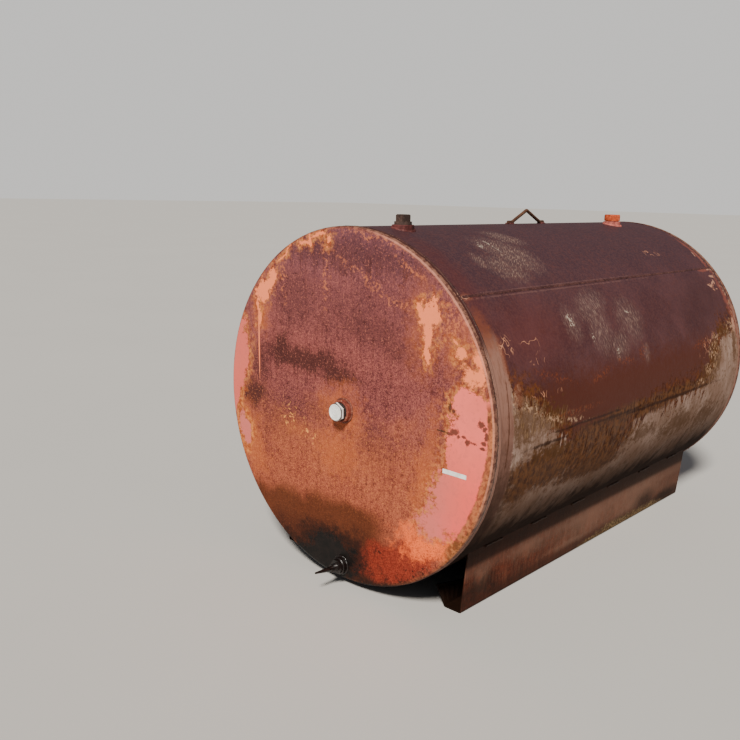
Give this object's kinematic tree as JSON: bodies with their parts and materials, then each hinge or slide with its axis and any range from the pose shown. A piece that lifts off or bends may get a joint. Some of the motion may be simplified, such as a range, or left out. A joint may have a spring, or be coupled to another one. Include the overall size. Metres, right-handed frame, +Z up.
{
  "type": "horizontal cylindrical storage tank on runners",
  "caption": "Horizontal steel storage tank: rolled shell, flanged flat heads, fill, vent, head and drain fittings, lifting lug and two welded runners.",
  "frame": {"origin": "on the floor, below the middle of the whole outline", "axes": "+Z up, +Y along the tank from the front head with the drain to the rear head, +X towards the side with the longitudinal seam"},
  "size_m": [1.175, 1.9768, 1.2511],
  "materials": {
    "shell_paint": "satin dark maroon paint, scuffed and worn to rust and bare metal",
    "head_rust": "mottled rust with remains of pink-red paint",
    "weld": "rough weld bead, painted and rusted",
    "fitting_rust": "rusted steel with remains of paint",
    "plug_plastic": "weathered white plastic",
    "oily_steel": "steel under black oil",
    "plug_iron": "weathered grey-brown iron",
    "vent_rust": "orange rust",
    "lug_rust": "brown rust",
    "runner_paint": "dark red-brown paint with streaks of dirt"
  },
  "bodies": {
    "root": {"shell": "shell_paint", "shell_seam_weld": "weld", "front_head": "head_rust", "rear_head": "head_rust", "front_girth_weld": "weld", "rear_girth_weld": "weld", "middle_coupling": "fitting_rust", "middle_coupling_weld": "weld", "middle_plug": "plug_plastic", "drain_coupling": "oily_steel", "drain_coupling_weld": "oily_steel", "drain_bushing": "oily_steel", "drain_nipple": "oily_steel", "drain_spout": "oily_steel", "fill_coupling": "fitting_rust", "fill_coupling_weld": "weld", "fill_plug": "plug_iron", "vent_coupling": "fitting_rust", "vent_coupling_weld": "weld", "vent_cap": "vent_rust", "lifting_lug": "lug_rust", "lug_front_weld": "weld", "lug_rear_weld": "weld", "right_runner": "runner_paint", "left_runner": "runner_paint", "right_runner_welds": "weld", "left_runner_welds": "weld"}
  },
  "joints": []
}
